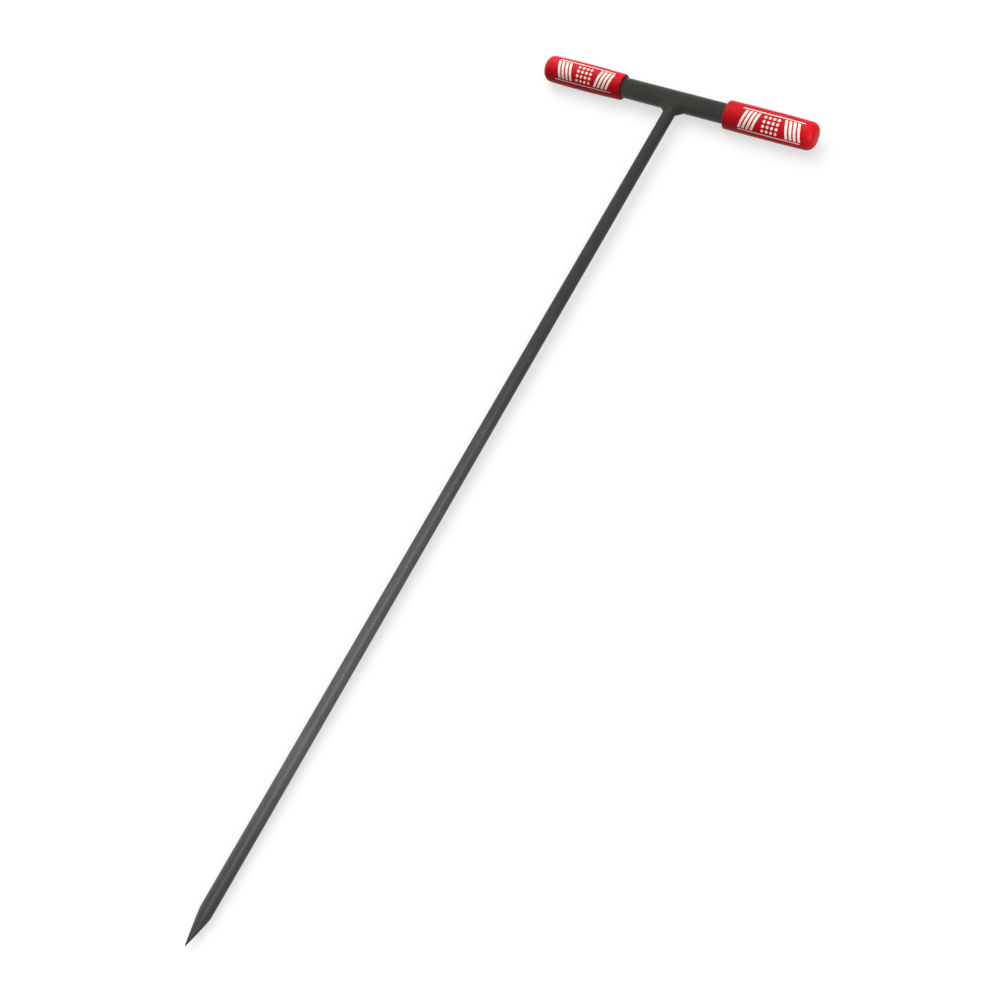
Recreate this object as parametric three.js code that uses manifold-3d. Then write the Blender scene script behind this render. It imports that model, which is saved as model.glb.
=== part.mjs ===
// Soil probe with a T handle: a solid steel rod, ground to a point, is welded square to the
// middle of a tubular crossbar, and a closed vinyl grip is pushed onto each end of the tube.
// Millimetres, +Z up. X runs along the crossbar and +Y from the point to the crossbar.
// The probe lies as it would on a bench, on its two grips and the shoulder of its point,
// and the origin is under the middle of the whole.

import * as THREE from 'three';
import { mergeVertices } from 'three/addons/utils/BufferGeometryUtils.js';
import Module from 'manifold-3d';

const wasm = await Module();
wasm.setup();

const degree = Math.PI / 180;
const fullTurn = 2 * Math.PI;

// Whole tool
const overallLength = 914.4; // tip of the point to the far side of the crossbar tube
const seatGap = 0.3; // between pieces that touch on the real tool

// Crossbar tube
const crossbarLength = 291;
const crossbarDiameter = 20;
const crossbarWall = 2.1;
const crossbarChamfer = 0.4; // deburred ends
const crossbarSides = 48;

// Rod and its ground point
const rodDiameter = 12.7;
const rodSides = 48;
const pointLength = 28.8; // tip to the shoulder, as a mean round the rod
const pointSkew = 2.2; // the long side starts this much further back, the short side nearer
const pointOffset = 0.7; // tip off the rod's centre line, to the long side
const pointTurn = 157 * degree; // where the long side lies, from +X towards +Z
const pointCrown = 0.25; // how far the ground faces stand proud of a straight cone
const pointTipRadius = 0.5; // the tip is slightly blunt
const pointRings = 9;

// Weld bead round the foot of the rod
const beadLegOnRod = 5;
const beadLegOnTube = 6.1; // along the crossbar, as a mean of the two sides
const beadLegSwing = 0.9; // heavier at +X, lighter at -X
const beadLegOnFlank = 4.5; // round the tube, on top and underneath
const beadEdge = 0.5; // depth of the bead where it ends
const beadHollowShare = 0.35; // how far its face sinks from flat towards the root
const beadHollowSwingShare = 0.15; // flatter at +X, hollower at -X
const beadRipples = 22;
const beadRippleHeight = 0.22;
const beadRippleBow = 1.1; // how far a ripple bows along the bead at mid face, in radians
const beadStepsPerRipple = 5;
const beadFaceSteps = 6;

// Grips
const gripLength = 92.4;
const gripWall = 3.7; // half way along, where the grip is fullest
const gripBelly = 0.7; // how much slimmer its radius is towards both ends
const gripEndWall = 3;
const gripEndRadius = 8; // round edge of the closed end
const gripRimRadius = 1.8; // round edge of the open end
const gripMouthChamfer = 0.6;
const gripSides = 64;
const gripBellySteps = 8;
const gripEndSteps = 8;
const gripRimSteps = 4;

// Worked out from the sizes above
const crossbarRadius = crossbarDiameter / 2;
const rodRadius = rodDiameter / 2;
const rodReach = overallLength - crossbarRadius; // crossbar axis to the tip
const tubeSeatRadius = crossbarRadius + seatGap;
const rodSeatRadius = rodRadius + seatGap;
const gripBoreRadius = crossbarRadius + seatGap;
const gripRadius = gripBoreRadius + gripWall;
const gripFloor = crossbarLength / 2 + seatGap; // inner face of the closed end, from the middle
const gripOuterEnd = gripFloor + gripEndWall;

function coatedSteel() {
  return new THREE.MeshStandardMaterial({ color: 0x3c3b3a, roughness: 0.42, metalness: 0.25 });
}

function redVinyl() {
  return new THREE.MeshStandardMaterial({ color: 0xcb1f2a, roughness: 0.38, metalness: 0 });
}

// A ring of points round the rod's axis, which is Y here
function ringAt(sides, place) {
  return Array.from({ length: sides }, (unused, i) => place((i / sides) * fullTurn));
}

// Closed skin through rings with equal numbers of points, each ring further along -Y
function skinThrough(rings, firstCentre, lastCentre) {
  const sides = rings[0].length;
  const points = [firstCentre, ...rings.flat(), lastCentre];
  const faces = [];
  const at = (ring, i) => 1 + ring * sides + (i % sides);
  for (let i = 0; i < sides; i += 1) {
    faces.push(0, at(0, i + 1), at(0, i));
    for (let ring = 0; ring < rings.length - 1; ring += 1) {
      faces.push(at(ring, i), at(ring, i + 1), at(ring + 1, i));
      faces.push(at(ring, i + 1), at(ring + 1, i + 1), at(ring + 1, i));
    }
    faces.push(points.length - 1, at(rings.length - 1, i), at(rings.length - 1, i + 1));
  }
  return geometryOf(points, faces);
}

// Closed skin swept through sections that go once round and meet themselves
function skinAround(sections) {
  const corners = sections[0].length;
  const faces = [];
  const at = (section, i) => (section % sections.length) * corners + (i % corners);
  for (let section = 0; section < sections.length; section += 1) {
    for (let i = 0; i < corners; i += 1) {
      faces.push(at(section, i), at(section + 1, i), at(section, i + 1));
      faces.push(at(section, i + 1), at(section + 1, i), at(section + 1, i + 1));
    }
  }
  return geometryOf(sections.flat(), faces);
}

function geometryOf(points, faces) {
  const geometry = new THREE.BufferGeometry().setFromPoints(points);
  geometry.setIndex(faces);
  geometry.computeVertexNormals();
  return geometry;
}

function solidOf(geometry) {
  const bare = geometry.clone();
  bare.deleteAttribute('normal');
  bare.deleteAttribute('uv');
  const merged = mergeVertices(bare);
  return new wasm.Manifold(
    new wasm.Mesh({
      numProp: 3,
      vertProperties: new Float32Array(merged.attributes.position.array),
      triVerts: new Uint32Array(merged.index.array),
    }),
  );
}

function geometryOfSolid(solid) {
  const mesh = solid.getMesh();
  const geometry = new THREE.BufferGeometry();
  geometry.setAttribute('position', new THREE.BufferAttribute(mesh.vertProperties, 3));
  geometry.setIndex(new THREE.BufferAttribute(mesh.triVerts, 1));
  geometry.computeVertexNormals();
  return geometry;
}

// Quarter circle of profile points about a centre, from one angle to another
function arcPoints(centreRadius, centreAlong, arcRadius, from, to, steps) {
  return Array.from({ length: steps + 1 }, (unused, i) => {
    const angle = from + ((to - from) * i) / steps;
    return new THREE.Vector2(
      centreRadius + arcRadius * Math.cos(angle),
      centreAlong + arcRadius * Math.sin(angle),
    );
  });
}

// Turns a profile of (radius, distance) points about the X axis
function turned(profile, sides) {
  return new THREE.LatheGeometry(profile, sides).rotateZ(-Math.PI / 2);
}

function crossbarTube() {
  const end = crossbarLength / 2;
  const bore = crossbarRadius - crossbarWall;
  const profile = [
    new THREE.Vector2(crossbarRadius - crossbarChamfer, -end),
    new THREE.Vector2(crossbarRadius, -end + crossbarChamfer),
    new THREE.Vector2(crossbarRadius, end - crossbarChamfer),
    new THREE.Vector2(crossbarRadius - crossbarChamfer, end),
    new THREE.Vector2(bore + crossbarChamfer, end),
    new THREE.Vector2(bore, end - crossbarChamfer),
    new THREE.Vector2(bore, -end + crossbarChamfer),
    new THREE.Vector2(bore + crossbarChamfer, -end),
  ];
  profile.push(profile[0].clone());
  return turned(profile, crossbarSides);
}

// One ring of the ground point: share 0 is the shoulder and 1 the blunt tip
function pointRing(share) {
  const crown = 4 * pointCrown * share * (1 - share);
  const lean = pointOffset * share;
  return ringAt(rodSides, (angle) => {
    const shoulder = pointLength + pointSkew * Math.cos(angle - pointTurn);
    const radius = THREE.MathUtils.lerp(rodRadius, pointTipRadius, share) + crown;
    return new THREE.Vector3(
      lean * Math.cos(pointTurn) + radius * Math.cos(angle),
      -rodReach + THREE.MathUtils.lerp(shoulder, pointTipRadius, share),
      lean * Math.sin(pointTurn) + radius * Math.sin(angle),
    );
  });
}

function probeRod() {
  const top = ringAt(
    rodSides,
    (angle) => new THREE.Vector3(rodRadius * Math.cos(angle), 0, rodRadius * Math.sin(angle)),
  );
  const point = Array.from({ length: pointRings }, (unused, i) => pointRing(i / (pointRings - 1)));
  const tip = new THREE.Vector3(
    pointOffset * Math.cos(pointTurn),
    -rodReach,
    pointOffset * Math.sin(pointTurn),
  );
  const blank = solidOf(skinThrough([top, ...point], new THREE.Vector3(), tip));
  const tubeSeat = new THREE.CylinderGeometry(
    tubeSeatRadius,
    tubeSeatRadius,
    2 * rodDiameter,
    crossbarSides,
  ).rotateZ(-Math.PI / 2);
  return geometryOfSolid(blank.subtract(solidOf(tubeSeat)));
}

// A point on the tube's seat, from its place along X and the angle round the tube
function onTubeSeat(along, angle, lift = 0) {
  return new THREE.Vector3(
    along,
    -(tubeSeatRadius + lift) * Math.cos(angle),
    (tubeSeatRadius + lift) * Math.sin(angle),
  );
}

// A point on the rod's seat
function onRodSeat(turn, along, lift = 0) {
  return new THREE.Vector3(
    (rodSeatRadius + lift) * Math.cos(turn),
    along,
    (rodSeatRadius + lift) * Math.sin(turn),
  );
}

// The bead's section at one turn round the rod: along the tube, over the edge, down the
// rippled face, over the other edge and back along the rod
function beadSection(turn) {
  const legOnTube = beadLegOnTube + beadLegSwing * Math.cos(turn);
  const rootAngle = Math.asin((rodSeatRadius * Math.sin(turn)) / tubeSeatRadius);
  const rootAlong = rodSeatRadius * Math.cos(turn);
  const toeAngle = rootAngle + (beadLegOnFlank / tubeSeatRadius) * Math.sin(turn);
  const toeAlong = rootAlong + legOnTube * Math.cos(turn);
  const root = onTubeSeat(rootAlong, rootAngle);
  const midTube = onTubeSeat((rootAlong + toeAlong) / 2, (rootAngle + toeAngle) / 2);
  const tubeToe = onTubeSeat(toeAlong, toeAngle);
  const tubeEdge = onTubeSeat(toeAlong, toeAngle, beadEdge);
  const rodToe = onRodSeat(turn, root.y - beadLegOnRod);
  const rodEdge = onRodSeat(turn, root.y - beadLegOnRod, beadEdge);
  const hollow = beadHollowShare - beadHollowSwingShare * Math.cos(turn);
  const flatMiddle = tubeEdge.clone().lerp(rodEdge, 1 / 2);
  const outward = flatMiddle.clone().sub(root).normalize();
  const face = new THREE.QuadraticBezierCurve3(tubeEdge, flatMiddle.lerp(root, hollow), rodEdge);
  const rippled = Array.from({ length: beadFaceSteps + 1 }, (unused, i) => {
    const share = i / beadFaceSteps;
    const middle = Math.sin(Math.PI * share);
    const phase = beadRipples * turn + beadRippleBow * middle;
    const lift = beadRippleHeight * middle * (1 + Math.cos(phase)) / 2;
    return face.getPoint(share).addScaledVector(outward, lift);
  });
  return [root, midTube, tubeToe, ...rippled, rodToe];
}

function weldBead() {
  const count = beadRipples * beadStepsPerRipple;
  const sections = Array.from({ length: count }, (unused, i) => beadSection((i / count) * fullTurn));
  return skinAround(sections);
}

// The radius of the grip for the +X end at a place along X
function gripRadiusAt(along) {
  const middle = gripOuterEnd - gripLength / 2;
  const share = (along - middle) / (gripLength / 2);
  return gripRadius - gripBelly * share * share;
}

// The grip for the +X end: a slightly barrel-shaped cup with a round-edged closed end, open
// towards the rod
function rightGrip() {
  const mouth = gripOuterEnd - gripLength;
  const rimPlace = mouth + gripRimRadius;
  const endPlace = gripOuterEnd - gripEndRadius;
  const rim = arcPoints(
    gripRadiusAt(rimPlace) - gripRimRadius,
    rimPlace,
    gripRimRadius,
    -Math.PI / 2,
    0,
    gripRimSteps,
  );
  const belly = Array.from({ length: gripBellySteps - 1 }, (unused, i) => {
    const along = THREE.MathUtils.lerp(rimPlace, endPlace, (i + 1) / gripBellySteps);
    return new THREE.Vector2(gripRadiusAt(along), along);
  });
  const end = arcPoints(
    gripRadiusAt(endPlace) - gripEndRadius,
    endPlace,
    gripEndRadius,
    0,
    Math.PI / 2,
    gripEndSteps,
  );
  const profile = [
    new THREE.Vector2(0, gripFloor),
    new THREE.Vector2(gripBoreRadius, gripFloor),
    new THREE.Vector2(gripBoreRadius, mouth + gripMouthChamfer),
    new THREE.Vector2(gripBoreRadius + gripMouthChamfer, mouth),
    ...rim,
    ...belly,
    ...end,
    new THREE.Vector2(0, gripOuterEnd),
  ];
  return turned(profile, gripSides);
}

function leftGrip() {
  return rightGrip().rotateZ(Math.PI);
}

function piece(name, geometry, material) {
  const mesh = new THREE.Mesh(geometry, material);
  mesh.name = name;
  return mesh;
}

// Lying down, the underside of the point's shoulder is level with the underside of the grips
function restTilt() {
  const shoulder = rodReach - pointLength - pointSkew * Math.cos(-Math.PI / 2 - pointTurn);
  return Math.asin(gripRadius / Math.hypot(shoulder, rodRadius)) - Math.atan2(rodRadius, shoulder);
}

const probe = new THREE.Group();
probe.add(
  piece('crossbar_tube', crossbarTube(), coatedSteel()),
  piece('probe_rod', probeRod(), coatedSteel()),
  piece('weld_bead', weldBead(), coatedSteel()),
  piece('left_grip', leftGrip(), redVinyl()),
  piece('right_grip', rightGrip(), redVinyl()),
);
probe.rotation.x = restTilt();
probe.updateMatrixWorld(true);

const extent = new THREE.Box3().setFromObject(probe, true);
const middle = extent.getCenter(new THREE.Vector3());
probe.position.set(-middle.x, -middle.y, -extent.min.z);

const group = new THREE.Group();
group.add(probe);
export default group;
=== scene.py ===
# Soil probe with a T handle: a pointed steel rod welded to a tubular crossbar, with a red vinyl
# grip on each end of the tube. It lies on a white studio floor.
# The tool's sizes are in millimetres, and its finished meshes in metres. The camera, the floor
# and the lamps are placed in metres. Angles are in degrees where nothing else is said.
import math

import bmesh
import bpy
from mathutils import Matrix, Quaternion, Vector


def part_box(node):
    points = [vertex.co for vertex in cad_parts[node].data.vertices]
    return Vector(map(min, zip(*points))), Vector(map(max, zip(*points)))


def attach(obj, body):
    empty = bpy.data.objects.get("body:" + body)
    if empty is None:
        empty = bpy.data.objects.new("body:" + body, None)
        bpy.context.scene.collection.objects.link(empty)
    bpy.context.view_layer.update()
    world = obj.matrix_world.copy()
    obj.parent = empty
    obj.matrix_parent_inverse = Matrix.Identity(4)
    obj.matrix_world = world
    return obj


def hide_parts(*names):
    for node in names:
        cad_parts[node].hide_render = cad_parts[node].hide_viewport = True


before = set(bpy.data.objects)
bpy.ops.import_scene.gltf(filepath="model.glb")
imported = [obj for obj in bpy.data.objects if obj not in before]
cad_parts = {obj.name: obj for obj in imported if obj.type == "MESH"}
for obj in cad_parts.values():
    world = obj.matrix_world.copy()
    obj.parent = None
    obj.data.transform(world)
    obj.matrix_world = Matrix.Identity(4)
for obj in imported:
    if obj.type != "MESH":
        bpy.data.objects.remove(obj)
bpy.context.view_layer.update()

millimetre = 0.001
crispAngle = math.radians(38)  # edges that turn more than this are not smoothed
seamGap = 0.001  # in the trees' millimetres: points closer than this are one


# sRGB hex to the linear colour that Blender's sockets take
def linearColour(hexColour):
    channels = [int(hexColour[i:i + 2], 16) / 255 for i in (1, 3, 5)]
    return [c / 12.92 if c <= 0.04045 else ((c + 0.055) / 1.055) ** 2.4 for c in channels] + [1.0]


# Adds a node, sets its settings, and feeds its inputs with numbers or with other nodes
def addNode(tree, kind, settings=None, inputs=None):
    node = tree.nodes.new(kind)
    for name, value in (settings or {}).items():
        setattr(node, name, value)
    for socket, value in (inputs or {}).items():
        if isinstance(value, bpy.types.Node):
            value = value.outputs[0]
        if isinstance(value, bpy.types.NodeSocket):
            tree.links.new(value, node.inputs[socket])
        else:
            node.inputs[socket].default_value = value
    return node


# The nodes that a row can name besides a sum: what is made, its settings, the sockets that the
# row's values go into, and the socket that is read from it
rowNodes = {
    "range": ("ShaderNodeMapRange", {}, (0, 1, 2, 3, 4), 0),
    "softRange": (
        "ShaderNodeMapRange", {"interpolation_type": "SMOOTHSTEP"}, (0, 1, 2, 3, 4), 0
    ),
    "mixValues": ("ShaderNodeMix", {}, (0, 2, 3), 0),
    "mixPlaces": ("ShaderNodeMix", {"data_type": "VECTOR"}, (0, 4, 5), 1),
    "mixColours": ("ShaderNodeMix", {"data_type": "RGBA"}, (0, 6, 7), 2),
    "place": ("ShaderNodeCombineXYZ", {}, (0, 1, 2), 0),
}


# Works down rows of nodes, each a name, one of rowNodes or a sum's operation, and what it reads:
# earlier names or plain values
def addRows(tree, known, rows):
    for name, kind, *values in rows:
        madeAsSum = ("ShaderNodeMath", {"operation": kind}, (0, 1, 2), 0)
        nodeType, settings, sockets, output = rowNodes.get(kind, madeAsSum)
        reads = {}
        for socket, value in zip(sockets, values):
            reads[socket] = known[value] if isinstance(value, str) else value
        known[name] = addNode(tree, nodeType, settings, reads).outputs[output]


# The tool's own frame has its origin where the rod's axis meets the crossbar's, with X along
# the crossbar and the rod along -Y. This is where the tool lies on the floor.
lie = {
    "tilt": 0.50012,  # the rod falls this much towards its point
}
tubeLow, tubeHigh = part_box("crossbar_tube")
layDown = (
    Matrix.Translation((tubeLow + tubeHigh) / 2)
    @ Matrix.Rotation(math.radians(lie["tilt"]), 4, "X")
    @ Matrix.Scale(millimetre, 4)
)


# A tree of Geometry Nodes whose named inputs are the entries of a dictionary of sizes
def startShapeTree(name, sizes):
    tree = bpy.data.node_groups.new(name, "GeometryNodeTree")
    for size, value in sizes.items():
        kind = "NodeSocketInt" if isinstance(value, int) else "NodeSocketFloat"
        tree.interface.new_socket(size, in_out="INPUT", socket_type=kind)
    tree.interface.new_socket("material", in_out="INPUT", socket_type="NodeSocketMaterial")
    tree.interface.new_socket("shape", in_out="OUTPUT", socket_type="NodeSocketGeometry")
    entry = addNode(tree, "NodeGroupInput")
    return tree, {socket.name: socket for socket in entry.outputs if socket.name}


# Ends a shape tree, runs it on a piece of its own and keeps the result as a plain mesh
def finishShape(pieceName, tree, shape, known, sizes, material):
    smooth = addNode(tree, "GeometryNodeSetShadeSmooth", inputs={"Geometry": shape})
    realized = addNode(tree, "GeometryNodeRealizeInstances", inputs={"Geometry": smooth})
    finished = addNode(
        tree, "GeometryNodeSetMaterial", inputs={"Geometry": realized, "Material": known["material"]}
    )
    addNode(tree, "NodeGroupOutput", inputs={"shape": finished})

    piece = bpy.data.objects.new(pieceName, bpy.data.meshes.new(pieceName + "Blank"))
    bpy.context.scene.collection.objects.link(piece)
    modifier = piece.modifiers.new("shape", "NODES")
    modifier.node_group = tree
    values = dict(sizes, material=material)
    for socket in tree.interface.items_tree:
        if socket.in_out == "INPUT":
            modifier[socket.identifier] = values[socket.name]
    made = piece.evaluated_get(bpy.context.evaluated_depsgraph_get())
    mesh = bpy.data.meshes.new_from_object(made)
    piece.modifiers.remove(modifier)
    piece.data = mesh
    mesh.name = pieceName
    finishMesh(mesh)
    return piece


# Lays a mesh down on the floor with its faces turned outwards
def finishMesh(mesh):
    mesh.transform(layDown)
    work = bmesh.new()
    work.from_mesh(mesh)
    bmesh.ops.recalc_face_normals(work, faces=work.faces)
    work.to_mesh(mesh)
    work.free()
    mesh.set_sharp_from_angle(angle=crispAngle)
    mesh.update()


def dress(piece, node):
    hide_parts(node)
    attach(piece, "root")
    print("made", piece.name, len(piece.data.polygons), "faces")


# Powder coating on steel: a polyester powder, sprayed on and baked. It gives an even charcoal
# satin with a fine orange peel, slightly warmer where it lies thin.
coating = {
    "thick": "#282825",
    "thin": "#332f26",
    "specular": 0.24,
    "roughnessLow": 0.30,
    "roughnessHigh": 0.38,
    "patchSize": 26,  # patches of thicker and thinner powder
    "patchDetail": 3.0,
    "speckSize": 1.8,
    "speckDetail": 2.0,
    "thickBelow": 0.12,  # patches times specks, from the thickest powder to the thinnest
    "thinAbove": 0.42,
    "smoothBelow": 0.3,  # patches alone, from the lowest roughness to the highest
    "roughAbove": 0.7,
    "peelSize": 1.3,
    "peelDetail": 1.0,
    "peelDepth": 0.012,
}
# The rod's coat is a darker copy of the handle's coat, darker as painted shade, and a little rougher,
# which spreads its sheen.
rodCoating = dict(
    coating, thick="#202020", thin="#282725", specular=0.25, roughnessLow=0.38, roughnessHigh=0.45
)
# Painted light: the rod's coat is painted paler over its lower half, as a pool of light on it,
# and darker again towards the tip. Places are measured from the middle of the tool's length towards
# the handle.
paintedLightPool = {
    "thick": "#383838",
    "thin": "#41403e",
    "start": 230,
    "full": -260,
    "fade": -275,
    "end": -425,
    "left": 0.1,  # how much of the painted light pool is left at the tip
}


# Starts a material with its shader and its patterns, each from its size in millimetres
def startLook(name, look, patterns):
    material = bpy.data.materials.new(name)
    material.use_nodes = True
    tree = material.node_tree
    shader = tree.nodes["Principled BSDF"]
    shader.inputs["Specular IOR Level"].default_value = look["specular"]
    known = {"place": addNode(tree, "ShaderNodeTexCoord").outputs["Object"]}
    for pattern in patterns:
        scale = 1 / (look[pattern + "Size"] * millimetre)
        reads = {"Vector": known["place"], "Scale": scale, "Detail": look[pattern + "Detail"]}
        known[pattern] = addNode(tree, "ShaderNodeTexNoise", inputs=reads)
    return material, tree, shader, known


def powderCoatedSteel(name, look, hasPaintedLightPool=False):
    material, tree, shader, known = startLook(name, look, ("patch", "speck", "peel"))
    coat = [linearColour(look[key]) for key in ("thick", "thin")]
    span = [look[key] for key in ("smoothBelow", "roughAbove", "roughnessLow", "roughnessHigh")]
    addRows(tree, known, (
        ("blend", "MULTIPLY", "patch", "speck"),
        ("thinness", "range", "blend", look["thickBelow"], look["thinAbove"]),
        ("colour", "mixColours", "thinness", *coat),
        ("roughness", "range", "patch", *span),
    ))
    # paints a pool of light on the rod: a paler coat over its lower half, fading again towards the tip
    if hasPaintedLightPool:
        across = addNode(tree, "ShaderNodeSeparateXYZ", inputs={0: known["place"]})
        known["along"] = across.outputs[1]
        start, full, fade, end = (
            paintedLightPool[key] * millimetre for key in ("start", "full", "fade", "end")
        )
        paleCoat = [linearColour(paintedLightPool[key]) for key in ("thick", "thin")]
        addRows(tree, known, (
            ("rise", "softRange", "along", start, full),
            ("fall", "softRange", "along", fade, end, 1.0, paintedLightPool["left"]),
            ("paintedPool", "MULTIPLY", "rise", "fall"),
            ("pale", "mixColours", "thinness", *paleCoat),
            ("colour", "mixColours", "paintedPool", "colour", "pale"),
        ))
    tree.links.new(known["colour"], shader.inputs["Base Color"])
    tree.links.new(known["roughness"], shader.inputs["Roughness"])
    peel = addNode(
        tree,
        "ShaderNodeBump",
        inputs={"Height": known["peel"], "Distance": look["peelDepth"] * millimetre, "Strength": 1.0},
    )
    tree.links.new(peel.outputs[0], shader.inputs["Normal"])
    return material


# Dipped vinyl: soft PVC cured on a former and stretched over the tube. It gives a saturated
# red with a broad soft sheen, and the print on it is a flat film of pale ink.
vinyl = {
    "red": "#c2141f",
    "deepRed": "#ab0f19",
    "ink": "#f1e9dd",
    "specular": 0.07,
    "roughnessLow": 0.34,
    "roughnessHigh": 0.44,
    "inkRoughness": 0.5,
    "cloudSize": 18,
    "cloudDetail": 2.0,
    "grainSize": 0.9,
    "grainDetail": 1.0,
    "grainDepth": 0.02,
    "inkThickness": 0.04,
    "pinholeSize": 0.7,
    "pinholeDetail": 1.0,
    "pinholeAbove": 0.68,  # the noise level from which the ink leaves a pinhole
}
# The print reads the grip's UV map: along the grip from its mouth, and round it from the print's
# middle line. It is a plain ornament: a square of dots with a block of leaning stripes on each
# side of it, between two thin rules.
gripPrint = {
    "middle": 48,
    "bandHalf": 9.2,
    "dotsHalf": 9.2,
    "dotPitch": 4.6,
    "dotRadius": 1.4,
    "stripesStart": 13.8,  # from the middle of the print
    "stripeCount": 4,
    "stripePitch": 4.3,
    "stripeShare": 0.6,
    "stripeLean": 0.25,
    "ruleRow": 11.1,
    "ruleHalf": 0.5,
    "rulesHalf": 32,
}


def dippedVinyl(name, look, marks):
    material, tree, shader, known = startLook(name, look, ("cloud", "grain", "pinhole"))
    wrap = addNode(tree, "ShaderNodeUVMap", {"uv_map": "gripWrap"})
    across = addNode(tree, "ShaderNodeSeparateXYZ", inputs={0: wrap})
    known.update(along=across.outputs[0], round=across.outputs[1])
    addRows(tree, known, (
        ("fromMiddle", "SUBTRACT", "along", marks["middle"]),
        ("outward", "ABSOLUTE", "fromMiddle"),
        ("upward", "ABSOLUTE", "round"),
        # the dots: the distance from the middle of each square of a grid
        ("dotColumns", "DIVIDE", "fromMiddle", marks["dotPitch"]),
        ("inColumn", "FRACT", "dotColumns"),
        ("acrossDot", "SUBTRACT", "inColumn", 0.5),
        ("dotRows", "DIVIDE", "round", marks["dotPitch"]),
        ("inRow", "FRACT", "dotRows"),
        ("upDot", "SUBTRACT", "inRow", 0.5),
        ("upSquared", "MULTIPLY", "upDot", "upDot"),
        ("fromDotSquared", "MULTIPLY_ADD", "acrossDot", "acrossDot", "upSquared"),
        ("fromDot", "SQRT", "fromDotSquared"),
        ("dot", "LESS_THAN", "fromDot", marks["dotRadius"] / marks["dotPitch"]),
        ("inDots", "LESS_THAN", "outward", marks["dotsHalf"]),
        ("dots", "MULTIPLY", "dot", "inDots"),
        # the stripes, which are the same on both sides of the dots
        ("leaning", "MULTIPLY_ADD", "round", marks["stripeLean"], "outward"),
        ("fromStripes", "SUBTRACT", "leaning", marks["stripesStart"]),
        ("pitches", "DIVIDE", "fromStripes", marks["stripePitch"]),
        ("inPitch", "FRACT", "pitches"),
        ("stripe", "COMPARE", "inPitch", 0.5, marks["stripeShare"] / 2),
        ("inStripes", "COMPARE", "pitches", marks["stripeCount"] / 2, marks["stripeCount"] / 2),
        ("stripes", "MULTIPLY", "stripe", "inStripes"),
        ("motifs", "MAXIMUM", "dots", "stripes"),
        ("inBand", "LESS_THAN", "upward", marks["bandHalf"]),
        ("band", "MULTIPLY", "motifs", "inBand"),
        # the rules above and below them
        ("rule", "COMPARE", "upward", marks["ruleRow"], marks["ruleHalf"]),
        ("inRule", "LESS_THAN", "outward", marks["rulesHalf"]),
        ("rules", "MULTIPLY", "rule", "inRule"),
        ("printed", "MAXIMUM", "band", "rules"),
        ("inked", "LESS_THAN", "pinhole", look["pinholeAbove"]),
        ("ink", "MULTIPLY", "printed", "inked"),
        # the vinyl's reds under the ink, and the sheen of both
        ("reds", "mixColours", "cloud", linearColour(look["red"]), linearColour(look["deepRed"])),
        ("colour", "mixColours", "ink", "reds", linearColour(look["ink"])),
        ("gloss", "range", "cloud", 0.0, 1.0, look["roughnessLow"], look["roughnessHigh"]),
        ("roughness", "mixValues", "ink", "gloss", look["inkRoughness"]),
    ))
    tree.links.new(known["colour"], shader.inputs["Base Color"])
    tree.links.new(known["roughness"], shader.inputs["Roughness"])
    grain = addNode(
        tree,
        "ShaderNodeBump",
        inputs={"Height": known["grain"], "Distance": look["grainDepth"] * millimetre},
    )
    film = addNode(
        tree,
        "ShaderNodeBump",
        inputs={
            "Height": known["ink"],
            "Distance": look["inkThickness"] * millimetre,
            "Normal": grain,
        },
    )
    tree.links.new(film.outputs[0], shader.inputs["Normal"])
    return material


coatedSteel = powderCoatedSteel("powderCoatedSteel", coating)
# the rod's material carries the painted light pool and the painted shade of its darker coat
coatedRodSteel = powderCoatedSteel("powderCoatedRodSteel", rodCoating, hasPaintedLightPool=True)
redVinyl = dippedVinyl("dippedRedVinyl", vinyl, gripPrint)
print("made the coated steel and the vinyl")


# Turns a closed profile of (distance along X, radius) about the X axis. The UV map has the
# distance along from uvStart and the way round at the piece's widest, with its seam opposite
# printTurn. With a uvSign of -1, for the piece at -X, the map and its print are turned half round.
def turnedMesh(name, profile, sides, printTurn=0.0, uvStart=0.0, uvSign=1.0):
    widest = max(radius for along, radius in profile)
    work = bmesh.new()
    uvLayer = work.loops.layers.uv.new("gripWrap")
    rings = []
    for along, radius in profile:
        if radius == 0:
            rings.append([work.verts.new((along, 0, 0))] * (sides + 1))
            continue
        ring = []
        for i in range(sides):
            turn = math.radians(printTurn) + math.pi + i / sides * math.tau
            ring.append(work.verts.new((along, -radius * math.sin(turn), radius * math.cos(turn))))
        rings.append(ring + ring[:1])
    for k, (low, high) in enumerate(zip(rings, rings[1:] + rings[:1])):
        alongs = (profile[k][0], profile[(k + 1) % len(profile)][0])
        for i in range(sides):
            corners = [
                (low[i], 0, i), (low[i + 1], 0, i + 1), (high[i + 1], 1, i + 1), (high[i], 1, i)
            ]
            kept = [c for n, c in enumerate(corners) if c[0] not in [d[0] for d in corners[:n]]]
            if len(kept) < 3:
                continue
            face = work.faces.new([corner[0] for corner in kept])
            for loop, (vertex, end, step) in zip(face.loops, kept):
                around = (step / sides - 0.5) * math.tau * widest
                loop[uvLayer].uv = (uvSign * (alongs[end] - uvStart), -uvSign * around)
    mesh = bpy.data.meshes.new(name)
    work.to_mesh(mesh)
    work.free()
    mesh.shade_smooth()
    return mesh


# Points on an arc of a profile, from one angle to another
def arc(centreAlong, centreRadius, arcRadius, start, end, steps):
    return [
        (
            centreAlong + arcRadius * math.sin(math.radians(start + (end - start) * i / steps)),
            centreRadius + arcRadius * math.cos(math.radians(start + (end - start) * i / steps)),
        )
        for i in range(steps + 1)
    ]


def placeMesh(name, mesh, material):
    piece = bpy.data.objects.new(name, mesh)
    bpy.context.scene.collection.objects.link(piece)
    mesh.materials.append(material)
    finishMesh(mesh)
    return piece


tube = {
    "length": 291,
    "radius": 10.0,
    "wall": 2.1,
    "endRound": 0.5,
    "endSteps": 4,
    "sides": 144,
}


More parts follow.
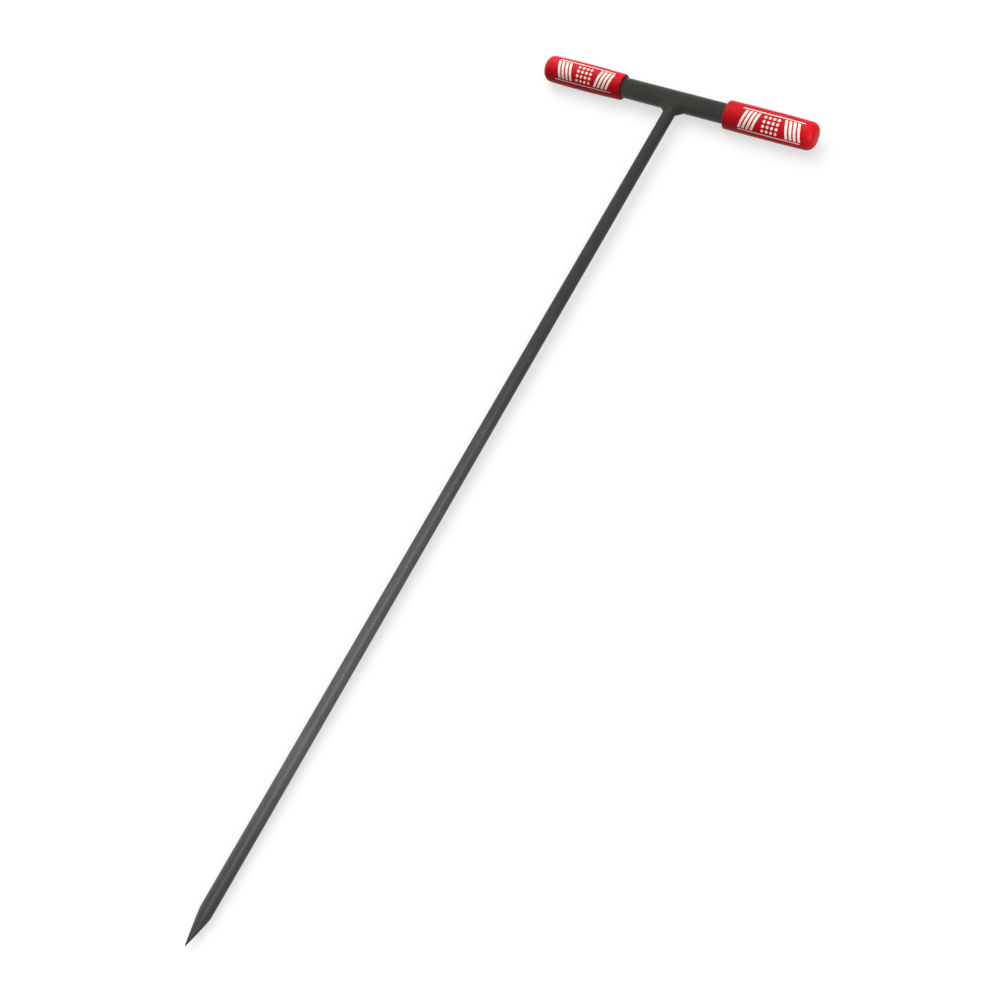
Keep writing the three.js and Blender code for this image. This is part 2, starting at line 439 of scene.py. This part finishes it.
def makeCrossbarTube():
    half, edge, steps = tube["length"] / 2, tube["endRound"], tube["endSteps"]
    outer, bore = tube["radius"], tube["radius"] - tube["wall"]
    end = arc(half - edge, outer - edge, edge, 0, 90, steps)
    end += arc(half - edge, bore + edge, edge, 90, 180, steps)
    profile = end + [(-along, radius) for along, radius in reversed(end)]
    mesh = turnedMesh("crossbarTube", profile, tube["sides"])
    return placeMesh("crossbarTube", mesh, coatedSteel)


dress(makeCrossbarTube(), "crossbar_tube")


# A grid one unit square to be wrapped round, and its two coordinates, each from -0.5 to 0.5
def addGrid(tree, known, countX, countY):
    counts = {"Vertices X": known[countX], "Vertices Y": known[countY]}
    grid = addNode(tree, "GeometryNodeMeshGrid", inputs={"Size X": 1.0, "Size Y": 1.0, **counts})
    position = addNode(tree, "GeometryNodeInputPosition")
    place = addNode(tree, "ShaderNodeSeparateXYZ", inputs={0: position})
    known.update(gridX=place.outputs[0], gridY=place.outputs[1])
    return grid


# The rod is a grid wrapped round: one way round the rod, the other from its coped top, down the
# shaft, over the soft shoulder and along the ground point to the blunt tip.
rod = {
    "radius": 6.35,
    "tubeRadius": tube["radius"],
    "reach": 904.39,  # crossbar axis to the tip
    "topOverlap": 0.4,  # how far the coped top runs into the tube's wall
    "pointLength": 28.8,
    "pointSkew": 2.2,  # the long side of the point starts this much further back
    "pointTurn": math.radians(157),  # where the long side lies, from +X towards +Z
    "pointOffset": 0.7,
    "pointCrown": 0.25,
    "tipRadius": 0.5,
    "shoulderLead": 3.0,  # the grinding starts this far above the shoulder
    "shoulderSoftness": 1.0,
    "grindDepth": 0.1,  # unevenness left by the grinding belt
    "grindSize": 5.0,
    "grindSeed": 3.0,
    "rings": 96,
    "sides": 128,
}
# The shares of the grid that make the rod's coped top, its shaft, its point and its blunt tip
capEnd = 1 / (rod["rings"] - 1)
shaftEnd = 0.3
pointEnd = 0.9
rodParts = {
    "cap": (0.0, capEnd),
    "shaft": (capEnd, shaftEnd),
    "point": (shaftEnd, pointEnd),
    "tip": (pointEnd, 1.0),
}


def makeProbeRod():
    tree, known = startShapeTree("probeRodShape", rod)
    addRows(tree, known, (("columns", "ADD", "sides", 1),))
    grid = addGrid(tree, known, "rings", "columns")
    addRows(tree, known, (
        ("ringShare", "ADD", "gridX", 0.5),
        ("roundShare", "ADD", "gridY", 0.5),
        ("angle", "MULTIPLY", "roundShare", math.tau),
        ("cosine", "COSINE", "angle"),
        ("sine", "SINE", "angle"),
    ))
    addRows(tree, known, [
        (part, "range", "ringShare", *span) for part, span in rodParts.items()
    ])
    addRows(tree, known, (
        ("fromLongSide", "SUBTRACT", "angle", "pointTurn"),
        ("skewShare", "COSINE", "fromLongSide"),
        ("shoulder", "MULTIPLY_ADD", "skewShare", "pointSkew", "pointLength"),
        ("slope", "SUBTRACT", "shoulder", "tipRadius"),
        ("slopeAndLead", "ADD", "slope", "shoulderLead"),
        ("ground", "MULTIPLY", "point", "slopeAndLead"),
        ("fromShoulder", "SUBTRACT", "ground", "shoulderLead"),
        ("softSquared", "MULTIPLY", "shoulderSoftness", "shoulderSoftness"),
        ("underRoot", "MULTIPLY_ADD", "fromShoulder", "fromShoulder", "softSquared"),
        ("root", "SQRT", "underRoot"),
        ("twiceSoft", "ADD", "fromShoulder", "root"),
        ("soft", "MULTIPLY", "twiceSoft", 0.5),
        ("drop", "SUBTRACT", "radius", "tipRadius"),
        ("fall", "DIVIDE", "drop", "slope"),
        ("taper", "MULTIPLY", "fall", "soft"),
        ("rawShare", "DIVIDE", "fromShoulder", "slope"),
        ("atLeastZero", "MAXIMUM", "rawShare", 0.0),
        ("coneShare", "MINIMUM", "atLeastZero", 1.0),
        ("restShare", "SUBTRACT", 1.0, "coneShare"),
        ("bowShare", "MULTIPLY", "coneShare", "restShare"),
        ("fourCrowns", "MULTIPLY", "pointCrown", 4.0),
        ("crown", "MULTIPLY", "bowShare", "fourCrowns"),
        ("coneRadius", "SUBTRACT", "radius", "taper"),
        ("crownedRadius", "ADD", "coneRadius", "crown"),
        # where each ring lies along the rod, from the coped top to the tip
        ("capRadius", "MULTIPLY", "radius", "cap"),
        ("capAcross", "MULTIPLY", "capRadius", "sine"),
        ("capSquared", "MULTIPLY", "capAcross", "capAcross"),
        ("tubeSquared", "MULTIPLY", "tubeRadius", "tubeRadius"),
        ("saddleSquared", "SUBTRACT", "tubeSquared", "capSquared"),
        ("saddle", "SQRT", "saddleSquared"),
        ("topPlace", "SUBTRACT", "topOverlap", "saddle"),
        ("shoulderPlace", "SUBTRACT", "shoulder", "reach"),
        ("pointPlace", "SUBTRACT", "shoulderPlace", "fromShoulder"),
        ("shaftRun", "SUBTRACT", "pointPlace", "topPlace"),
        ("alongPlace", "MULTIPLY_ADD", "shaftRun", "shaft", "topPlace"),
        ("tipAngle", "MULTIPLY", "tip", math.pi / 2),
        ("tipSine", "SINE", "tipAngle"),
        ("tipCosine", "COSINE", "tipAngle"),
        ("tipPlace", "MULTIPLY", "tipSine", "tipRadius"),
        ("y", "SUBTRACT", "alongPlace", "tipPlace"),
        # unevenness, which only ever takes metal away
        ("grindX", "MULTIPLY", "cosine", "radius"),
        ("grindZ", "MULTIPLY", "sine", "radius"),
        ("grindPlace", "place", "grindX", "y", "grindZ"),
        ("grindScale", "DIVIDE", 1.0, "grindSize"),
    ))
    known["grind"] = addNode(
        tree,
        "ShaderNodeTexNoise",
        {"noise_dimensions": "4D"},
        {
            "Vector": known["grindPlace"],
            "W": known["grindSeed"],
            "Scale": known["grindScale"],
            "Detail": 1.0,
        },
    )
    addRows(tree, known, (
        ("grindShare", "MULTIPLY", "bowShare", 4.0),
        ("grindReach", "MULTIPLY", "grindShare", "grindDepth"),
        ("grindCut", "MULTIPLY", "grindReach", "grind"),
        ("groundRadius", "SUBTRACT", "crownedRadius", "grindCut"),
        ("tippedRadius", "MULTIPLY", "groundRadius", "tipCosine"),
        ("ringRadius", "MULTIPLY", "tippedRadius", "cap"),
        ("lean", "MULTIPLY", "coneShare", "pointOffset"),
        ("turnCosine", "COSINE", "pointTurn"),
        ("turnSine", "SINE", "pointTurn"),
        ("leanX", "MULTIPLY", "lean", "turnCosine"),
        ("leanZ", "MULTIPLY", "lean", "turnSine"),
        ("x", "MULTIPLY_ADD", "ringRadius", "cosine", "leanX"),
        ("z", "MULTIPLY_ADD", "ringRadius", "sine", "leanZ"),
        ("target", "place", "x", "y", "z"),
    ))
    wrapped = addNode(
        tree, "GeometryNodeSetPosition", inputs={"Geometry": grid, "Position": known["target"]}
    )
    closed = addNode(
        tree, "GeometryNodeMergeByDistance", inputs={"Geometry": wrapped, "Distance": seamGap}
    )
    return finishShape("probeRod", tree, closed, known, rod, coatedRodSteel)


dress(makeProbeRod(), "probe_rod")


# The weld bead is a grid too: one way round the rod, along the saddle where rod and tube meet,
# the other across the bead's face from the tube to the rod and back inside the metal.
bead = {
    "rodRadius": rod["radius"],
    "tubeRadius": tube["radius"],
    "legOnRod": 5.6,
    "legOnTube": 6.6,
    "legSwing": 0.9,  # heavier at +X, lighter at -X
    "legOnFlank": 4.8,
    "fullTurn": math.radians(208),  # where it was washed out fuller, below the rod at -X
    "fullFrom": 0.4,  # the cosine of how far round that reaches
    "fullLegOnTube": 3.0,
    "fullLegOnRod": 1.6,
    "sink": 0.12,  # the toes start this far inside the steel
    "innerShare": 0.8,  # the skin goes back through the rod this share of its radius out,
    "innerRise": 1.0,  # and this much nearer to the tube's axis than the corner
    "hollow": 0.3,
    "hollowSwing": 0.15,
    "ripples": 22,
    "rippleHeight": 0.3,
    "rippleBow": 2.4,
    "rippleRoundness": 0.6,  # below 1, so that the ripples are round with sharp valleys
    "waver": 1.1,  # how unevenly the ripples follow each other
    "waverScale": 3.1,
    "swell": 0.45,
    "swellScale": 1.3,
    "restartTurn": math.radians(128),  # where the bead was started and closed
    "restartFrom": 0.9,  # the cosine of how far round that reaches
    "restartHeight": 0.5,
    "spatterCount": 5,
    "spatterSpread": 1.2,  # round the tube, to each side of the rod, in radians
    "tubeSpatterStart": 15.0,  # along the tube from the rod's axis
    "tubeSpatterRun": 9.0,
    "rodSpatterStart": 17.5,  # down the rod from the tube's axis
    "rodSpatterRun": 12.0,
    "spatterSmall": 0.4,
    "spatterLarge": 0.9,
    "spatterSink": 0.75,  # in radii, so that only a flat cap shows
    "seed": 7,
    "acrossPoints": 30,
    "roundPoints": 309,
}
# How many of the steps across are on the face. The rest go back inside the metal.
faceSteps = 26
faceEnd = faceSteps / (bead["acrossPoints"] - 1)
backEnd = (1 + faceEnd) / 2
beadParts = {"face": (0.0, faceEnd), "back": (faceEnd, backEnd), "home": (backEnd, 1.0)}


def makeWeldBead():
    tree, known = startShapeTree("weldBeadShape", bead)
    grid = addGrid(tree, known, "acrossPoints", "roundPoints")
    addRows(tree, known, (
        ("acrossShare", "ADD", "gridX", 0.5),
        ("roundShare", "ADD", "gridY", 0.5),
        ("turn", "MULTIPLY", "roundShare", math.tau),
        ("cosine", "COSINE", "turn"),
        ("sine", "SINE", "turn"),
    ))
    addRows(tree, known, [
        (part, "range", "acrossShare", *span) for part, span in beadParts.items()
    ])
    addRows(tree, known, (
        ("fromFull", "SUBTRACT", "turn", "fullTurn"),
        ("fullCosine", "COSINE", "fromFull"),
        ("full", "softRange", "fullCosine", "fullFrom", 1.0),
        ("rodAcross", "MULTIPLY", "rodRadius", "sine"),
        ("rootSine", "DIVIDE", "rodAcross", "tubeRadius"),
        ("rootAngle", "ARCSINE", "rootSine"),
        ("rootCosine", "COSINE", "rootAngle"),
        ("rootDepth", "MULTIPLY", "rootCosine", "tubeRadius"),
        ("rootX", "MULTIPLY", "rodRadius", "cosine"),
        ("rootY", "MULTIPLY", "rootDepth", -1.0),
        ("legHere", "MULTIPLY_ADD", "legSwing", "cosine", "legOnTube"),
        ("fullLegHere", "MULTIPLY_ADD", "full", "fullLegOnTube", "legHere"),
        ("toeReach", "ADD", "rodRadius", "fullLegHere"),
        ("toeX", "MULTIPLY", "toeReach", "cosine"),
        ("flankTurn", "DIVIDE", "legOnFlank", "tubeRadius"),
        ("toeAngle", "MULTIPLY_ADD", "flankTurn", "sine", "rootAngle"),
        ("toeCosine", "COSINE", "toeAngle"),
        ("toeSine", "SINE", "toeAngle"),
        ("sunkTube", "SUBTRACT", "tubeRadius", "sink"),
        ("sunkRod", "SUBTRACT", "rodRadius", "sink"),
        ("toeDepth", "MULTIPLY", "toeCosine", "sunkTube"),
        ("toeY", "MULTIPLY", "toeDepth", -1.0),
        ("toeZ", "MULTIPLY", "toeSine", "sunkTube"),
        ("footX", "MULTIPLY", "cosine", "sunkRod"),
        ("rodLegHere", "MULTIPLY_ADD", "full", "fullLegOnRod", "legOnRod"),
        ("footY", "SUBTRACT", "rootY", "rodLegHere"),
        ("footZ", "MULTIPLY", "sine", "sunkRod"),
        ("deepX", "MULTIPLY", "rootX", "innerShare"),
        ("deepY", "ADD", "rootY", "innerRise"),
        ("deepZ", "MULTIPLY", "rodAcross", "innerShare"),
        ("hollowHere", "MULTIPLY", "hollowSwing", "cosine"),
        ("sag", "SUBTRACT", "hollow", "hollowHere"),
        ("faceAngle", "MULTIPLY", "face", math.pi),
        ("arch", "SINE", "faceAngle"),
        ("tubeToe", "place", "toeX", "toeY", "toeZ"),
        ("rodToe", "place", "footX", "footY", "footZ"),
        ("corner", "place", "rootX", "rootY", "rodAcross"),
        ("deep", "place", "deepX", "deepY", "deepZ"),
        ("ringPlace", "place", "cosine", "sine"),
    ))
    # slow and quick unevenness round the bead, each from one noise read on a circle
    for step, (name, scale) in enumerate((("slow", "swellScale"), ("quick", "waverScale"))):
        addRows(tree, known, ((name + "Seed", "ADD", "seed", step),))
        known[name] = addNode(
            tree,
            "ShaderNodeTexNoise",
            {"noise_dimensions": "4D"},
            {
                "Vector": known["ringPlace"],
                "W": known[name + "Seed"],
                "Scale": known[scale],
                "Detail": 1.0,
            },
        )
    addRows(tree, known, (
        ("wavering", "MULTIPLY", "waver", "quick"),
        ("bowing", "MULTIPLY_ADD", "rippleBow", "arch", "wavering"),
        ("phase", "MULTIPLY_ADD", "ripples", "turn", "bowing"),
        ("halfPhase", "MULTIPLY", "phase", 0.5),
        ("wave", "SINE", "halfPhase"),
        ("ridge", "ABSOLUTE", "wave"),
        ("scale", "POWER", "ridge", "rippleRoundness"),
        ("rippled", "MULTIPLY", "scale", "rippleHeight"),
        ("swollen", "MULTIPLY_ADD", "slow", "swell", "rippled"),
        ("fromRestart", "SUBTRACT", "turn", "restartTurn"),
        ("restartCosine", "COSINE", "fromRestart"),
        ("restart", "softRange", "restartCosine", "restartFrom", 1.0),
        ("lump", "MULTIPLY_ADD", "restart", "restartHeight", "swollen"),
        ("lift", "MULTIPLY", "lump", "arch"),
        # the face is a curve from toe to toe whose middle is drawn towards the corner
        ("flat", "mixPlaces", 0.5, "tubeToe", "rodToe"),
        ("pull", "mixPlaces", "sag", "flat", "corner"),
        ("first", "mixPlaces", "face", "tubeToe", "pull"),
        ("second", "mixPlaces", "face", "pull", "rodToe"),
        ("curve", "mixPlaces", "face", "first", "second"),
    ))
    away = addNode(
        tree,
        "ShaderNodeVectorMath",
        {"operation": "SUBTRACT"},
        {0: known["flat"], 1: known["corner"]},
    )
    outward = addNode(tree, "ShaderNodeVectorMath", {"operation": "NORMALIZE"}, {0: away})
    raised = addNode(
        tree, "ShaderNodeVectorMath", {"operation": "SCALE"}, {0: outward, "Scale": known["lift"]}
    )
    known["skin"] = addNode(
        tree, "ShaderNodeVectorMath", {"operation": "ADD"}, {0: known["curve"], 1: raised}
    )
    addRows(tree, known, (
        ("inside", "mixPlaces", "back", "skin", "deep"),
        ("whole", "mixPlaces", "home", "inside", "tubeToe"),
    ))
    wrapped = addNode(
        tree, "GeometryNodeSetPosition", inputs={"Geometry": grid, "Position": known["whole"]}
    )
    closed = addNode(
        tree, "GeometryNodeMergeByDistance", inputs={"Geometry": wrapped, "Distance": seamGap}
    )

    # drops of spatter, sunk in the tube on both sides of the bead and in the rod below it
    drops = []
    seedsApart = 10  # between the draws for the tube's drops and those for the rod's
    addRows(tree, known, (("spreadBack", "MULTIPLY", "spatterSpread", -1.0),))
    draws = (
        ("away", 0.0, 1.0),
        ("side", -1.0, 1.0),
        ("round", known["spreadBack"], known["spatterSpread"]),
        ("size", 0.0, 1.0),
    )
    for k, carrier in enumerate(("tube", "rod")):
        points = addNode(tree, "GeometryNodePoints", inputs={"Count": known["spatterCount"]})
        for n, (name, low, high) in enumerate(draws):
            addRows(tree, known, (("dropSeed", "ADD", "seed", seedsApart * k + n),))
            reads = {2: low, 3: high, 8: known["dropSeed"]}
            value = addNode(tree, "FunctionNodeRandomValue", {"data_type": "FLOAT"}, reads)
            known[name + "Drop"] = value.outputs[1]
        addRows(tree, known, (
            ("dropAway", "MULTIPLY_ADD", "awayDrop", carrier + "SpatterRun", carrier + "SpatterStart"),
            ("sizeRange", "SUBTRACT", "spatterLarge", "spatterSmall"),
            ("dropSize", "MULTIPLY_ADD", "sizeDrop", "sizeRange", "spatterSmall"),
            ("dropSink", "MULTIPLY", "dropSize", "spatterSink"),
            ("dropLevel", "SUBTRACT", carrier + "Radius", "dropSink"),
        ))
        if carrier == "tube":
            rows = (
                ("dropSide", "SIGN", "sideDrop"),
                ("dropX", "MULTIPLY", "dropAway", "dropSide"),
                ("dropCosine", "COSINE", "roundDrop"),
                ("dropSine", "SINE", "roundDrop"),
                ("dropDepth", "MULTIPLY", "dropCosine", "dropLevel"),
                ("dropY", "MULTIPLY", "dropDepth", -1.0),
                ("dropZ", "MULTIPLY", "dropSine", "dropLevel"),
            )
        else:
            rows = (
                ("dropTurn", "MULTIPLY", "sideDrop", math.pi),
                ("dropCosine", "COSINE", "dropTurn"),
                ("dropSine", "SINE", "dropTurn"),
                ("dropX", "MULTIPLY", "dropCosine", "dropLevel"),
                ("dropY", "MULTIPLY", "dropAway", -1.0),
                ("dropZ", "MULTIPLY", "dropSine", "dropLevel"),
            )
        addRows(tree, known, (*rows, ("dropPlace", "place", "dropX", "dropY", "dropZ")))
        placed = addNode(
            tree,
            "GeometryNodeSetPosition",
            inputs={"Geometry": points, "Position": known["dropPlace"]},
        )
        ball = addNode(tree, "GeometryNodeMeshIcoSphere", inputs={"Radius": 1.0, "Subdivisions": 3})
        drops.append(addNode(
            tree,
            "GeometryNodeInstanceOnPoints",
            inputs={"Points": placed, "Instance": ball, "Scale": known["dropSize"]},
        ))
    joined = addNode(tree, "GeometryNodeJoinGeometry")
    for part in (closed, *drops):
        tree.links.new(part.outputs[0], joined.inputs[0])
    return finishShape("weldBead", tree, joined, known, bead, coatedSteel)


dress(makeWeldBead(), "weld_bead")


grip = {
    "outerEnd": 148.8,  # from the middle of the crossbar to the closed end
    "endBelly": 0.7,  # how much slimmer its radius is at the closed end
    "boreRadius": 10.02,
    "endWall": 3.0,
    "endRound": 8.0,
    "rimRound": 1.2,
    "lipRound": 0.4,
    "endDome": 0.35,  # the closed end is very slightly domed
    "bellySteps": 24,
    "endSteps": 20,
    "rimSteps": 8,
    "lipSteps": 4,
    "discSteps": 4,
    "sides": 160,
}
# No two dipped grips come out quite alike: the left one is slimmer, shorter and tapers more
# towards its mouth.
gripPair = {
    "right": {
        "length": 93.6,
        "radius": 14.0,  # half way along, where the grip is fullest
        "mouthBelly": 0.1,  # how much slimmer its radius is at the mouth
        "printTurn": 38,  # where the print faces, from +Z towards the point
        "printShift": 1.2,  # towards the closed end
    },
    "left": {
        "length": 90.2,
        "radius": 13.6,
        "mouthBelly": 0.9,
        "printTurn": 31,
        "printShift": -6.7,
    },
}


# The radius at a place along X of a grip with these sizes, as if it were the grip at +X
def gripRadiusAt(sizes, along):
    half = sizes["length"] / 2
    share = (along - grip["outerEnd"] + half) / half
    belly = sizes["mouthBelly"] if share < 0 else grip["endBelly"]
    return sizes["radius"] - belly * share ** 2


def makeGrip(name, side, sizes):
    end, bore, dome = grip["outerEnd"], grip["boreRadius"], grip["endDome"]
    rim, lip, corner = grip["rimRound"], grip["lipRound"], grip["endRound"]
    mouth = end - sizes["length"]
    rimPlace, cornerPlace = mouth + rim, end - dome - corner
    profile = [(end - grip["endWall"], 0.0), (end - grip["endWall"], bore)]
    profile += arc(mouth + lip, bore + lip, lip, 180, 270, grip["lipSteps"])
    profile += arc(rimPlace, gripRadiusAt(sizes, rimPlace) - rim, rim, -90, 0, grip["rimSteps"])
    for i in range(1, grip["bellySteps"]):
        along = rimPlace + (cornerPlace - rimPlace) * i / grip["bellySteps"]
        profile.append((along, gripRadiusAt(sizes, along)))
    discRadius = gripRadiusAt(sizes, cornerPlace) - corner
    profile += arc(cornerPlace, discRadius, corner, 0, 90, grip["endSteps"])
    for i in range(1, grip["discSteps"] + 1):
        share = 1 - i / grip["discSteps"]
        profile.append((end - dome * share ** 2, discRadius * share))
    profile = [(side * along, radius) for along, radius in profile]
    uvStart = side * (mouth + sizes["printShift"])
    mesh = turnedMesh(name, profile, grip["sides"], sizes["printTurn"], uvStart, side)
    return placeMesh(name, mesh, redVinyl)


for side, end in (("right", 1), ("left", -1)):
    dress(makeGrip(side + "Grip", end, gripPair[side]), side + "_grip")


# The camera stands to the right of the rod, above it, and is rolled so that the handle rises
# to the left.
cameraSet = {
    "place": (0.45735, -0.31483, 0.97153),
    "aim": (0.042493, -0.008458, 0.0),
    "roll": -27.1864,
    "lens": 44.201,
    "sensor": 36.0,
    "clipStart": 0.01,
}
cameraData = bpy.data.cameras.new("studioCamera")
cameraData.lens = cameraSet["lens"]
cameraData.sensor_width = cameraSet["sensor"]
cameraData.clip_start = cameraSet["clipStart"]
camera = bpy.data.objects.new("studioCamera", cameraData)
bpy.context.scene.collection.objects.link(camera)
camera.location = cameraSet["place"]
lookAlong = Vector(cameraSet["aim"]) - camera.location
camera.rotation_mode = "QUATERNION"
camera.rotation_quaternion = lookAlong.to_track_quat("-Z", "Y") @ Quaternion(
    (0, 0, 1), math.radians(cameraSet["roll"])
)
bpy.context.scene.camera = camera
print("made the camera")


# White backdrop paper: it is white to the eye and to reflections, and it lights the tool's
# underside only as strongly as paper in this light would.
studio = {
    "floorSize": 8.0,
    "paper": "#959595",
    "paperGlow": 0.608,
    "skyLevel": 0.10,
}
# Soft suns, which have no shape of their own in reflections: where each shines from, its
# strength, and how wide it is in the sky
suns = {
    "keySun": {"from": (-0.50, 0.38, 0.78), "strength": 2.2, "angle": 52},
    "fillSun": {"from": (0.75, -0.55, 0.55), "strength": 1.2, "angle": 60},
    "topSun": {"from": (0.0, -0.05, 1.0), "strength": 1.73, "angle": 100},
    "gripSun": {"from": (-0.10, 0.35, 1.0), "strength": 1.82, "angle": 60},
    "tubeSun": {"from": (0.1, -1.0, 0.5), "strength": 0.8, "angle": 50},
}
# Softboxes: where each stands, what it faces, its width and height, and its power
softboxes = {
    "leftBox": {
        "place": (-0.40, 0.68, 0.30),
        "aim": (-0.1, 0.45, 0.0),
        "size": (0.25, 0.25),
        "watts": 0.9,
    },
    "frontBox": {
        "place": (-0.45, 0.25, 0.35),
        "aim": (-0.12, 0.445, 0.0),
        "size": (0.25, 0.25),
        "watts": 0.42,
    },
    "rightBox": {
        "place": (0.25, 0.37, 0.09),
        "aim": (0.14, 0.43, 0.0),
        "size": (0.1, 0.1),
        "watts": 0.23,
    },
    "rodBox": {
        "place": (0.272, -0.155, 0.54),
        "aim": (0.0, -0.155, 0.0),
        "size": (0.78, 0.2),
        "watts": 3.6,
    },
    "rimBox": {
        "place": (-0.6, -0.52, 0.16),
        "aim": (0.0, -0.42, 0.0),
        "size": (0.4, 0.15),
        "watts": 0.9,
    },
    "pointBox": {
        "place": (0.22, -0.75, 0.47),
        "aim": (0.0, -0.44, 0.0),
        "size": (0.2, 0.15),
        "watts": 0.6,
    },
}
# What the flags in front of a lamp keep its light off. The rod, the tube and the grips have lamps
# of their own, and no softbox brightens the floor.
grips = ("leftGrip", "rightGrip")
steelHandle = ("crossbarTube", "weldBead")
flagged = {
    "fillSun": (*steelHandle, *grips),
    "topSun": grips,
    "gripSun": ("studioFloor", "probeRod", *steelHandle),
    "tubeSun": ("studioFloor", "probeRod", "weldBead", *grips),
    "leftBox": ("studioFloor", "probeRod", *steelHandle),
    "frontBox": ("studioFloor", "probeRod", "rightGrip", *steelHandle),
    "rightBox": ("studioFloor", "probeRod", *steelHandle),
    "rodBox": ("studioFloor", *steelHandle, *grips),
    "rimBox": ("studioFloor", *steelHandle, *grips),
    "pointBox": ("studioFloor", *steelHandle, *grips),
}


def setFlags(lampObject):
    shaded = bpy.data.collections.new(lampObject.name + "Flags")
    for pieceName in flagged[lampObject.name]:
        shaded.objects.link(bpy.data.objects[pieceName])
    for entry in shaded.collection_objects:
        entry.light_linking.link_state = "EXCLUDE"
    lampObject.light_linking.receiver_collection = shaded


def seenDirectly(tree):
    paths = addNode(tree, "ShaderNodeLightPath")
    known = dict(
        camera=paths.outputs["Is Camera Ray"],
        glossy=paths.outputs["Is Glossy Ray"],
        transmission=paths.outputs["Is Transmission Ray"],
    )
    addRows(tree, known, (
        ("cameraOrGlossy", "MAXIMUM", "camera", "glossy"),
        ("seen", "MAXIMUM", "cameraOrGlossy", "transmission"),
    ))
    return known["seen"]


def makeStage():
    half = studio["floorSize"] / 2
    mesh = bpy.data.meshes.new("studioFloor")
    corners = [(-half, -half, 0), (half, -half, 0), (half, half, 0), (-half, half, 0)]
    mesh.from_pydata(corners, [], [(0, 1, 2, 3)])
    floor = bpy.data.objects.new("studioFloor", mesh)
    bpy.context.scene.collection.objects.link(floor)
    paper = bpy.data.materials.new("backdropPaper")
    paper.use_nodes = True
    tree = paper.node_tree
    tree.nodes.remove(tree.nodes["Principled BSDF"])
    matte = addNode(tree, "ShaderNodeBsdfDiffuse", inputs={"Color": linearColour(studio["paper"])})
    glow = addNode(
        tree,
        "ShaderNodeMath",
        {"operation": "MULTIPLY"},
        {0: seenDirectly(tree), 1: studio["paperGlow"]},
    )
    shine = addNode(tree, "ShaderNodeEmission", inputs={"Strength": glow})
    both = addNode(tree, "ShaderNodeAddShader", inputs={0: matte, 1: shine})
    tree.links.new(both.outputs[0], tree.nodes["Material Output"].inputs["Surface"])
    mesh.materials.append(paper)

    world = bpy.data.worlds.new("studioSky")
    bpy.context.scene.world = world
    world.use_nodes = True
    tree = world.node_tree
    level = addNode(
        tree, "ShaderNodeMix", inputs={0: seenDirectly(tree), 2: studio["skyLevel"], 3: 1.0}
    )
    tree.links.new(level.outputs[0], tree.nodes["Background"].inputs["Strength"])
    tree.nodes["Background"].inputs["Color"].default_value = (1.0, 1.0, 1.0, 1.0)

    for name, shine in suns.items():
        sun = bpy.data.lights.new(name, "SUN")
        sun.energy = shine["strength"]
        sun.angle = math.radians(shine["angle"])
        sunObject = bpy.data.objects.new(name, sun)
        sunObject.rotation_mode = "QUATERNION"
        sunObject.rotation_quaternion = Vector(shine["from"]).to_track_quat("Z", "Y")
        sunObject.visible_glossy = False
        bpy.context.scene.collection.objects.link(sunObject)

    for name, box in softboxes.items():
        lamp = bpy.data.lights.new(name, "AREA")
        lamp.shape = "RECTANGLE"
        lamp.size, lamp.size_y = box["size"]
        lamp.energy = box["watts"]
        lampObject = bpy.data.objects.new(name, lamp)
        lampObject.visible_camera = False
        lampObject.location = box["place"]
        lampObject.rotation_mode = "QUATERNION"
        towards = Vector(box["aim"]) - Vector(box["place"])
        lampObject.rotation_quaternion = towards.to_track_quat("-Z", "Y")
        bpy.context.scene.collection.objects.link(lampObject)
    for name in flagged:
        setFlags(bpy.data.objects[name])
    print("made the floor, the sky and the lamps")


makeStage()
bpy.context.scene.view_settings.view_transform = "Standard"
